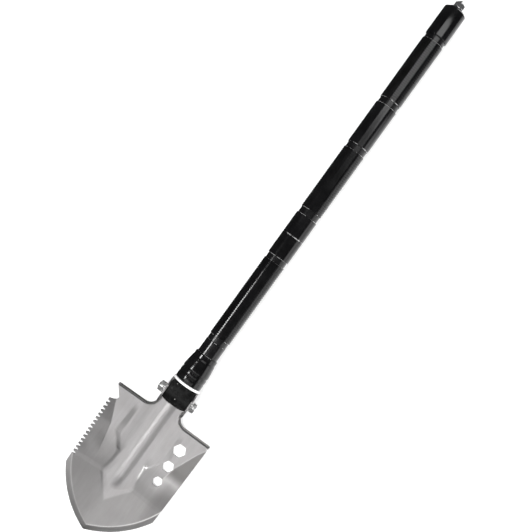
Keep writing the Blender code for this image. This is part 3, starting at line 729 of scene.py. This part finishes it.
def pressed_slab(name, top, bottom, x_range, y_range):
    """A sheet between two height functions, over a fine grid."""
    columns = round((x_range[1] - x_range[0]) / GRID_STEP)
    rows = round((y_range[1] - y_range[0]) / GRID_STEP)
    mesh = bpy.data.meshes.new(name)
    shape = bmesh.new()
    bmesh.ops.create_grid(shape, x_segments=columns, y_segments=rows, size=1)
    for vert in shape.verts:
        vert.co.x = x_range[0] + (vert.co.x + 1) / 2 * (x_range[1] - x_range[0])
        vert.co.y = y_range[0] + (vert.co.y + 1) / 2 * (y_range[1] - y_range[0])
    upper = bmesh.ops.extrude_face_region(shape, geom=list(shape.faces))
    raised = {item for item in upper["geom"] if isinstance(item, bmesh.types.BMVert)}
    for vert in shape.verts:
        height = top if vert in raised else bottom
        vert.co.z = height(vert.co.x, vert.co.y)
    bmesh.ops.triangulate(shape, faces=shape.faces)
    bmesh.ops.recalc_face_normals(shape, faces=shape.faces)
    shape.to_mesh(mesh)
    shape.free()
    return mesh


def edge_y(x):
    """The +Y side of the blade before the saw is cut, a slightly tapering line."""
    return between(((SHOULDER_X, HALF_WIDTH), (CORNER_X, CORNER_HALF_WIDTH)), x)


def saw_edge():
    """The +Y edge from the shoulder corner to the side corner: hook, notch and teeth."""
    points = [(SHOULDER_X, HALF_WIDTH), (NOTCH_START + HOOK_BACK, HALF_WIDTH)]
    points += [(x + along, edge_y(x) - depth) for x, along, depth in HOOK]
    for tooth in range(TOOTH_COUNT):
        start = NOTCH_END - TOOTH_PITCH * tooth
        for along, depth in TOOTH:
            points.append((start - along * TOOTH_PITCH, edge_y(start) - depth * TOOTH_DEPTH))
    return points


def tip_edge():
    """Both cutting edges, from the +Y side corner round the tip to the -Y side corner."""
    start = math.atan2(CORNER_HALF_WIDTH - ARC_CENTRE.y, CORNER_X - ARC_CENTRE.x)
    end = math.atan2(-ARC_CENTRE.y, BLADE_TIP - ARC_CENTRE.x)
    if end < start:
        end += 2 * math.pi
    upper = arc_points(ARC_CENTRE, TIP_ARC_RADIUS, start, end, TIP_STEPS)
    lower = [(x, -y) for x, y in reversed(upper[:-1])]
    return upper + lower


def neck_edge():
    """The -Y top edge from the shoulder to the tongue."""
    centre = (SHOULDER_X + NECK_FILLET, -(NECK_HALF_WIDTH + NECK_FILLET))
    return arc_points(centre, NECK_FILLET, math.pi, math.pi / 2, FILLET_STEPS)


def blade_outline():
    """The whole outline of the blade and its tongue, seen from the front."""
    top = neck_edge()
    points = saw_edge() + tip_edge()
    points.append((SHOULDER_X, -HALF_WIDTH))
    points += top
    points += [(-EAR_FLAT, -NECK_HALF_WIDTH), (-EAR_FLAT, -EAR_OUTER), (TONGUE_END, -EAR_OUTER)]
    points += [(TONGUE_END, EAR_OUTER), (-EAR_FLAT, EAR_OUTER), (-EAR_FLAT, NECK_HALF_WIDTH)]
    points += [(x, -y) for x, y in reversed(top)]
    return points


def ear_outline():
    """An ear seen along Y, as (x, z): flats with rounded corners, and a root on the web."""
    reach = math.acos(EAR_FLAT / EAR_RADIUS)
    pitch = 2 * math.pi / EAR_SIDES
    points = []
    for side in range(EAR_SIDES_SHOWN):
        middle = side * pitch
        points += arc_points((0, 0), EAR_RADIUS, middle - reach, middle + reach, 1)
        if side < EAR_SIDES_SHOWN - 1:
            points += arc_points((0, 0), EAR_RADIUS, middle + reach, middle + pitch - reach,
                                 EAR_CORNER_STEPS)[1:-1]
    root = FLOOR_Z - SHEET / 2
    return points + [(-EAR_FLAT, root), (TONGUE_END - OVERLAP, root)]


def back_z(x, y):
    """Height of the blade's back face at a point."""
    return front_z(x, y) - SHEET


def slope_normal(height, x, y):
    """The upward normal of a height function, over half a grid cell either way."""
    reach = GRID_STEP / 2
    along = (height(x + reach, y) - height(x - reach, y)) / GRID_STEP
    across = (height(x, y + reach) - height(x, y - reach)) / GRID_STEP
    return Vector((-along, -across, 1)).normalized()


def pressed_normals(mesh):
    """Shades the pressed faces by their height functions, as the Boolean's cuts are uneven."""
    normals = [Vector()] * len(mesh.loops)
    for face in mesh.polygons:
        if abs(face.normal.z) < PRESSED_TILT:
            continue
        height, sign = (finished_z, 1) if face.normal.z > 0 else (back_z, -1)
        for loop in face.loop_indices:
            x, y, z = mesh.vertices[mesh.loops[loop].vertex_index].co - PIVOT
            if abs(height(x, y) - z) < PRESSED_MATCH:
                normals[loop] = slope_normal(height, x, y) * sign
    mesh.normals_split_custom_set(normals)


def rim_tone(x, y):
    """The dark rim along the shoulders and round the neck."""
    if x >= -EAR_FLAT + OVERLAP:
        return 0.0
    return ease((RIM_WIDTH - top_distance(x, y)) / RIM_FADE + 1)


def ground_tone(x, y):
    """The ground bevel along the cutting edge."""
    return ease(GROUND_FADE - tip_distance(x, y) / EDGE_BEVEL * GROUND_FADE)


def highlight_paint_tone(x, y):
    """Painted highlights: lighter lines along the top of the ground bevel and the arrow's edge at
    its waist.
    """
    bevel_top = ease(1 - abs(tip_distance(x, y) - EDGE_BEVEL) / HIGHLIGHT_PAINT_WIDTH)
    waist = ease(1 - abs(-y - between(ARROW, x) - WAIST_OFFSET) / WAIST_WIDTH)
    waist *= ease((WAIST_START - x) / WAIST_START_RUN) * ease((x - WAIST_END) / WAIST_END_RUN)
    return max(bevel_top * (1.0 if y < 0 else HIGHLIGHT_PAINT_SAW_SIDE), waist)


def shade_paint_tone(x, y):
    """Painted shade: darker steel on the terrace's flanks, the wings and the sides of the spoon,
    not the same on both sides."""
    side = abs(y)
    saw_side = ease(0.5 + y / SAW_SIDE_BLEND)
    inner = between(BODY, x)
    spread = FLANK_SPREAD * clamp((FLANK_SPREAD_START - x) / FLANK_SPREAD_RUN)
    outer = inner + BODY_FLANK + FLANK_MARGIN + spread
    flank = ease((side - inner) / SHADE_PAINT_FADE) * ease((outer - side) / SHADE_PAINT_FADE)
    flank *= ease((STEP_START - FLANK_DELAY - x) / FLANK_RUN)
    low = ease((SPOON_START - x) / SPOON_RUN)
    wing = ease((side - between(CREASE, x)) / SHADE_PAINT_FADE) * (1 - low)
    spoon = ease((side - between(ARROW, x)) / SPOON_FADE) * low
    flank *= (FLANK_TONE + FLANK_SAW_SIDE * saw_side) * (1 - low)
    flank *= 1 - FLANK_LOSS * ease((FLANK_LOSS_START - x) / FLANK_LOSS_RUN)
    wing *= 1.0 - WING_SAW_SIDE_LOSS * saw_side
    low_side = SPOON_SIDE_TONE * (1 - saw_side) * ease((side - SPOON_SIDE_START) / SPOON_SIDE_RUN)
    spoon *= SPOON_TONE - SPOON_SAW_SIDE_LOSS * saw_side + low_side
    return max(flank, wing, spoon)


def paint(mesh, name, tone):
    """Stores a tone for every point of the mesh, from its place in the pivot's own frame."""
    layer = mesh.attributes.new(name, "FLOAT", "POINT")
    for vert, item in zip(mesh.vertices, layer.data):
        item.value = tone(vert.co.x - PIVOT.x, vert.co.y)


def make_blade():
    """The pressed sheet cut to its outline, with two ears and all its holes."""
    whole_x = (BLADE_TIP - GRID_STEP, TONGUE_END + GRID_STEP)
    whole_y = (-HALF_WIDTH - GRID_STEP, HALF_WIDTH + GRID_STEP)
    both = [STEEL, CUT]
    tools = []

    def add(name, mesh, matrix):
        tools.append(tool(name, mesh, matrix, both))
        return tools[-1]

    face = pressed_slab("blade_face", finished_z, back_z, whole_x, whole_y)
    blade = new_object("blade_sheet", face, both)
    blade.matrix_world = from_pivot()
    mesh = prism_mesh("outline", blade_outline(), PUNCH_LOW, PUNCH_HIGH, 1)
    boolean(blade, "INTERSECT", add("outline", mesh, from_pivot()))
    for inner in (-EAR_OUTER, EAR_INNER):
        mesh = prism_mesh("ear", ear_outline(), 0, SHEET)
        ear = add("ear", mesh, from_pivot(y=inner + SHEET, turn=90))
        bevel(ear, width=0.0003, segments=2)
        boolean(blade, "UNION", ear)
    mesh = prism_mesh("bolt_hole", circle(BOLT_HOLE, HOLE_STEPS), -DRILL_REACH, DRILL_REACH, 1)
    boolean(blade, "DIFFERENCE", add("bolt_hole", mesh, from_pivot(turn=90)))
    for x, flats in HEX_HOLES:
        mesh = prism_mesh("hex_hole", hexagon(flats, math.radians(90)), PUNCH_LOW, PUNCH_HIGH, 1)
        boolean(blade, "DIFFERENCE", add("hex_hole", mesh, from_pivot(x, HEX_ROW_Y)))
    finish_piece(blade, "blade", tools)
    pressed_normals(blade.data)
    paint(blade.data, "rim", rim_tone)
    paint(blade.data, "ground", ground_tone)
    # The last two tones are painted shade and painted highlights
    paint(blade.data, "painted_shade", shade_paint_tone)
    paint(blade.data, "painted_highlight", highlight_paint_tone)


# Pivot hardware and hinge block


def turned_blank(corner, near, far, sign, matrix):
    """A disc with its far edge turned off, which takes the corners off a hexagon inside it."""
    profile = ((corner * HEX_TURNED, far), (corner + HEX_CLEAR, far - sign * HEX_TURNED_DROP),
               (corner + HEX_CLEAR, near))
    shape = bmesh.new()
    rings = []
    for radius, height in profile:
        rings.append([shape.verts.new((x, y, height)) for x, y in circle(radius, ROUND_STEPS)])
    for first, second in zip(rings, rings[1:]):
        for i in range(ROUND_STEPS):
            j = (i + 1) % ROUND_STEPS
            shape.faces.new((first[i], first[j], second[j], second[i]))
    shape.faces.new(rings[0])
    shape.faces.new(list(reversed(rings[-1])))
    bmesh.ops.recalc_face_normals(shape, faces=shape.faces)
    mesh = bpy.data.meshes.new("hex_cone")
    shape.to_mesh(mesh)
    shape.free()
    return tool("hex_cone", mesh, matrix, [ZINC])


def long_drill(radius):
    """A round cutter along Y that reaches past the bolt's ends."""
    mesh = prism_mesh("hole", circle(radius, ROUND_STEPS), -LONG_DRILL_REACH, LONG_DRILL_REACH)
    return tool("hole", mesh, from_pivot(turn=-90), [ZINC])


def hex_piece(name, node, low, high, sign, hole=None, stud=None):
    """A hexagon along Y with its corners turned off at the end that sign points to. It can have
    a hole, or a stud given as (radius, start, end)."""
    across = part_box("pivot_nut")[1].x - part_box("pivot_nut")[0].x
    along_y = from_pivot(turn=-90)
    outline = hexagon(across, math.radians(30))
    piece = new_object(name, prism_mesh(name, outline, low, high), [ZINC])
    piece.matrix_world = along_y
    near, far = (low, high) if sign > 0 else (high, low)
    tools = [turned_blank(across / math.sqrt(3), near, far, sign, along_y)]
    boolean(piece, "INTERSECT", tools[-1])
    bevel(piece, width=0.00015, segments=2, angle=25)
    if stud:
        radius, start, end = stud
        mesh = prism_mesh("stud", circle(radius, ROUND_STEPS), start, end)
        tools.append(tool("stud", mesh, along_y, [ZINC]))
        bevel(tools[-1], width=0.0004, segments=2)
        boolean(piece, "UNION", tools[-1])
    if hole:
        tools.append(long_drill(hole))
        boolean(piece, "DIFFERENCE", tools[-1])
    finish_piece(piece, node, tools)


def make_pivot():
    """The bolt's head and shank in one piece, its nut, and a washer under each."""
    head_low, head_high = (corner.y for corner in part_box("pivot_bolt"))
    nut_low, nut_high = (corner.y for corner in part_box("pivot_nut"))
    head_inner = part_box("bolt_washer")[0].y - GAP
    hex_piece("bolt_hex_head", "pivot_bolt", head_low, head_inner, -1,
              stud=(BOLT_RADIUS, head_inner - OVERLAP, head_high))
    hex_piece("lock_nut_m8", "pivot_nut", nut_low, nut_high, 1, hole=BOLT_HOLE)
    for name in ("bolt_washer", "nut_washer"):
        low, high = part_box(name)
        outline = circle((high.x - low.x) / 2, WASHER_STEPS)
        washer = new_object(name + "_disc", prism_mesh(name, outline, low.y, high.y), [ZINC])
        washer.matrix_world = from_pivot(turn=-90)
        hole = long_drill(BOLT_HOLE)
        boolean(washer, "DIFFERENCE", hole)
        bevel(washer, width=0.0002, segments=2)
        finish_piece(washer, name, [hole])


def make_hinge_block():
    """The block between the ears, with its hollow threaded stem."""
    low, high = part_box("hinge_block")
    nose = low.x - PIVOT.x
    plug_end = high.x - PIVOT.x
    nut_back = span("lock_nut")[1]
    tools = []

    def add(name, mesh, matrix):
        tools.append(tool(name, mesh, matrix, [BLACK_STEEL]))
        return tools[-1]

    side = arc_points((nose + BLOCK_HALF_HEIGHT, 0), BLOCK_HALF_HEIGHT, math.radians(90),
                      math.radians(270), NOSE_STEPS)
    side += [(BLOCK_BACK, -BLOCK_HALF_HEIGHT), (BLOCK_BACK, BLOCK_HALF_HEIGHT)]
    block = new_object("block_body", prism_mesh("block", side, -high.y, high.y), [BLACK_STEEL])
    block.matrix_world = from_pivot(turn=90)
    mesh = prism_mesh("plan", circle(BLOCK_NOSE_RADIUS, PLAN_STEPS), -DRILL_REACH, DRILL_REACH)
    boolean(block, "INTERSECT", add("plan", mesh, from_pivot(nose + BLOCK_NOSE_RADIUS)))
    bevel(block, width=0.0008, segments=3, angle=40)
    root = BLOCK_BACK - OVERLAP
    stem = [(0, plug_end), (STEM_PLUG_RADIUS, plug_end), (STEM_PLUG_RADIUS, nut_back),
            (STEM_THREAD_RADIUS, nut_back), (STEM_THREAD_RADIUS, root), (0, root)]
    mesh = lathe_mesh("stem", rounded(stem, 0.0003, False), False)
    boolean(block, "UNION", add("stem", mesh, Matrix.Identity(4)))
    bore = circle(STEM_BORE, ROUND_STEPS)
    mesh = prism_mesh("bore", bore, STEM_BORE_START, plug_end + 2 * OVERLAP)
    boolean(block, "DIFFERENCE", add("bore", mesh, from_pivot(turn=90, axis="Y")))
    for x, radius in ((0, BUSH_HOLE), (STEM_PIN_X, STEM_PIN_HOLE)):
        mesh = prism_mesh("hole", circle(radius, HOLE_STEPS), -DRILL_REACH, DRILL_REACH)
        boolean(block, "DIFFERENCE", add("hole", mesh, from_pivot(x, turn=90)))
    finish_piece(block, "hinge_block", tools)


# Turned pieces


def span(node):
    """Where the node starts and ends along the handle, and its outer radius."""
    low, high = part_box(node)
    return low.x - PIVOT.x, high.x - PIVOT.x, high.z - PIVOT.z


def make_lock():
    """The pressure ring and the tapering nut that pushes it against the ears."""
    start, end, radius = span("pressure_ring")
    bore = STEM_THREAD_RADIUS + GAP
    ring = [(radius - RING_CHAMFER, end), (radius, end - RING_CHAMFER),
            (radius, start + RING_CHAMFER), (radius - RING_CHAMFER, start), (bore, start),
            (bore, end)]
    lathe("pressure_ring_disc", "pressure_ring", ring, True, 0.0004, RING_STEEL)
    start, end, band = span("lock_nut")
    profile = [(NUT_END_RADIUS, end), (NUT_TAPER[0][0], end - NUT_CHAMFER), *NUT_TAPER,
               (band, NUT_BAND_END)]
    for floor, back, front in NUT_GROOVES:
        profile += [(band, back + NUT_CHAMFER), (floor, back), (floor, front),
                    (band, front - NUT_CHAMFER)]
    profile += [(band, start + NUT_CHAMFER), (band - NUT_CHAMFER, start), (bore, start),
                (bore, end)]
    lathe("lock_nut_body", "lock_nut", profile, True, 0.0004, GLOSS_BLACK)


def sleeve(node, bore, rims, outside=None):
    """A sleeve with a worn chamfer at each end; outside lists more (r, x) points between them."""
    start, end, radius = span(node)
    profile = [(radius - SLEEVE_CHAMFER, end), (radius, end - SLEEVE_CHAMFER)]
    profile += outside or []
    profile += [(radius, start + SLEEVE_CHAMFER), (radius - SLEEVE_CHAMFER, start), (bore, start),
                (bore, end)]
    worn = (0, len(profile) - 4)
    mesh = lathe_mesh(node + "_sleeve", profile, True, worn)
    piece = new_object(node + "_sleeve", mesh, [GRIP_BLACK if outside else GLOSS_BLACK, rims])
    place(piece, node)


def make_collars():
    """The smooth sleeves, more worn at the joint where the handle comes apart."""
    sleeve("neck_collar", STEM_PLUG_RADIUS + GAP, WORN_RIM)
    sleeve("lower_collar", CORE_RADIUS + GAP, JOINT_RIM)
    sleeve("joint_collar", CORE_RADIUS + GAP, JOINT_RIM)
    sleeve("middle_collar", CORE_RADIUS + GAP, WORN_RIM)


def grooves(start, end, radius):
    """Rounded grooves turned round a grip, with a plain land at each end."""
    length = end - start - 2 * GRIP_LAND
    count = round(length / RIB_PITCH)
    points = []
    for rib in range(count):
        middle = end - GRIP_LAND - (rib + 0.5) * length / count
        for along, depth in GROOVE:
            points.append((radius - RIB_DEPTH * depth, middle + along * GROOVE_WIDTH))
    return points


def make_grips():
    """The finely grooved sleeves."""
    for node in ("lower_grip", "middle_grip", "upper_grip"):
        sleeve(node, CORE_RADIUS + GAP, WORN_RIM, grooves(*span(node)))


def make_tail():
    """The cap at the handle's end, with its spigot and the bore for the breaker."""
    start, end, radius = span("tail_cap")
    front = span("upper_tube")[1] + GAP
    bore = BREAKER_STUD_RADIUS + GAP
    profile = [
        (CAP_END_RADIUS, end), (radius, end - CAP_END_TAPER), (radius, front + CAP_CHAMFER),
        (radius - CAP_CHAMFER, front), (SPIGOT_RADIUS, front),
        (SPIGOT_RADIUS, start + SPIGOT_CHAMFER), (SPIGOT_RADIUS - SPIGOT_CHAMFER, start),
        (SPIGOT_BORE, start), (SPIGOT_BORE, CAP_BORE_END), (bore, CAP_BORE_END), (bore, end),
    ]
    lathe("tail_cap_body", "tail_cap", profile, True, 0.0005, GLOSS_BLACK)


def make_breaker():
    """The glass breaker: a stud and a waist under a hexagonal point."""
    start, end, _ = span("glass_breaker")
    corner = BREAKER_FLATS / math.sqrt(3)
    waist_start = span("tail_cap")[1] + GAP
    waist_end = BREAKER_HEX_START + OVERLAP
    stud = [(0, waist_end), (BREAKER_WAIST, waist_end), (BREAKER_WAIST, waist_start),
            (BREAKER_STUD_RADIUS, waist_start), (BREAKER_STUD_RADIUS, start), (0, start)]
    mesh = lathe_mesh("stud", rounded(stud, 0.0002, False), False)
    breaker = new_object("breaker_stud", mesh, [POLISHED])
    head = tool("head", prism_mesh("head", hexagon(BREAKER_FLATS), BREAKER_HEX_START, end),
                from_pivot(turn=90, axis="Y"), [POLISHED])
    foot = BREAKER_HEX_START - BREAKER_CLEAR
    point = [(0, end), (BREAKER_POINT_RADIUS, end - BREAKER_POINT_DROP),
             (corner, BREAKER_HEX_END), (corner, BREAKER_HEX_START + BREAKER_FOOT_DROP),
             (corner * BREAKER_FOOT, foot), (0, foot)]
    cone = tool("cone", lathe_mesh("cone", point, False), Matrix.Identity(4), [POLISHED])
    boolean(head, "INTERSECT", cone)
    bevel(head, width=0.00015, segments=2, angle=25)
    boolean(breaker, "UNION", head)
    finish_piece(breaker, "glass_breaker", [head, cone])


def colour_inner_nodes():
    """CAD nodes whose shape is already right only take a better material."""
    finishes = {
        "pivot_bush": BRONZE, "stem_pin": ZINC, "lower_tube": CORE_BLACK,
        "middle_tube": CORE_BLACK, "upper_tube": CORE_BLACK, "lower_socket": ALUMINIUM,
        "middle_socket": ALUMINIUM, "upper_socket": ALUMINIUM, "middle_spigot": ALUMINIUM,
        "upper_spigot": ALUMINIUM, "middle_seal": RUBBER, "upper_seal": RUBBER,
        "cap_seal": RUBBER,
    }
    for node, material in finishes.items():
        mesh = frame["nodes"][node].data
        mesh.materials.clear()
        mesh.materials.append(material)


# Stage, lights and camera


def make_floor():
    """Two sheets of white paper side by side; only the one on the -Y side shows in the gloss."""
    paper = floor_paper()
    for name, low, high in (("floor_near", -FLOOR_REACH, 0), ("floor_far", 0, FLOOR_REACH)):
        outline = [(-FLOOR_REACH, low), (FLOOR_REACH, low), (FLOOR_REACH, high),
                   (-FLOOR_REACH, high)]
        sheet = new_object(name, prism_mesh(name, outline, -FLOOR_THICKNESS, 0.0), [paper])
        sheet.visible_glossy = low < 0


def softbox(name, place_at, size, power, aim_at=None, glossy=True):
    """A rectangular light; without a point to aim at it hangs level, sized along X and Y."""
    light = bpy.data.lights.new(name, "AREA")
    light.shape = "RECTANGLE"
    light.size, light.size_y = size
    light.energy = power
    lamp = bpy.data.objects.new(name, light)
    lamp.location = place_at
    if aim_at:
        direction = Vector(aim_at) - Vector(place_at)
        lamp.rotation_euler = direction.to_track_quat("-Z", "Y").to_euler()
    lamp.visible_glossy = glossy
    bpy.context.scene.collection.objects.link(lamp)


def make_lights():
    """Softboxes that give the blade and the handle their bands of light."""
    softbox("tail_near", (0.455, -0.22, 1.50), (0.19, 1.60), 0.6)
    softbox("tail_far", (0.775, -0.22, 1.50), (0.45, 1.60), 8.7)
    softbox("blade_upper", (-0.60, -0.22, 1.50), (0.40, 1.95), 2.3)
    softbox("blade_lower", (-1.05, 0.35, 1.50), (0.50, 1.20), 0.45)
    softbox("blade_lower_side", (-1.05, -0.65, 1.50), (0.50, 0.80), 0.25)
    softbox("blade_middle", (-0.62, 0.02, 1.50), (0.52, 0.30), 1.4)
    softbox("blade_head", (-0.90, 0.02, 1.50), (0.16, 0.24), 0.8)
    softbox("blade_lobe", (-0.60, 0.50, 1.50), (0.44, 0.60), 6.8)
    softbox("blade_low_lobe", (-1.00, 0.36, 1.50), (0.40, 0.30), 0.20)
    softbox("strip", (-0.19, 0.82, 0.95), (0.26, 0.20), 4.8, (-0.19, 0, 0))
    softbox("side_box", (-0.29, -1.70, 0.50), (1.82, 0.9), 9.5, (-0.29, 0, 0.1))
    softbox("fill", (0, 0, 2.6), (3.5, 3.5), 125, glossy=False)
    world = bpy.data.worlds.new("studio")
    bpy.context.scene.world = world
    world.use_nodes = True
    background = world.node_tree.nodes["Background"]
    background.inputs["Color"].default_value = (1, 1, 1, 1)
    background.inputs["Strength"].default_value = WORLD_STRENGTH


def make_camera():
    """Looks straight down on the middle of the shovel, with the handle to the upper right."""
    camera = bpy.data.cameras.new("camera")
    camera.sensor_width = CAMERA_SENSOR
    camera.lens = CAMERA_SENSOR * CAMERA_HEIGHT / CAMERA_FIELD
    camera.clip_start = 0.01
    camera.clip_end = 50
    made = bpy.data.objects.new("camera", camera)
    made.location = (PIVOT.x + CAMERA_X, CAMERA_Y, PIVOT.z + CAMERA_HEIGHT)
    made.rotation_euler = (0, 0, CAMERA_TURN)
    bpy.context.scene.collection.objects.link(made)
    bpy.context.scene.camera = made


def main():
    bpy.context.scene.view_settings.view_transform = "Standard"
    make_camera()
    make_blade()
    make_pivot()
    make_hinge_block()
    make_lock()
    make_collars()
    make_grips()
    make_tail()
    make_breaker()
    colour_inner_nodes()
    make_floor()
    make_lights()


main()
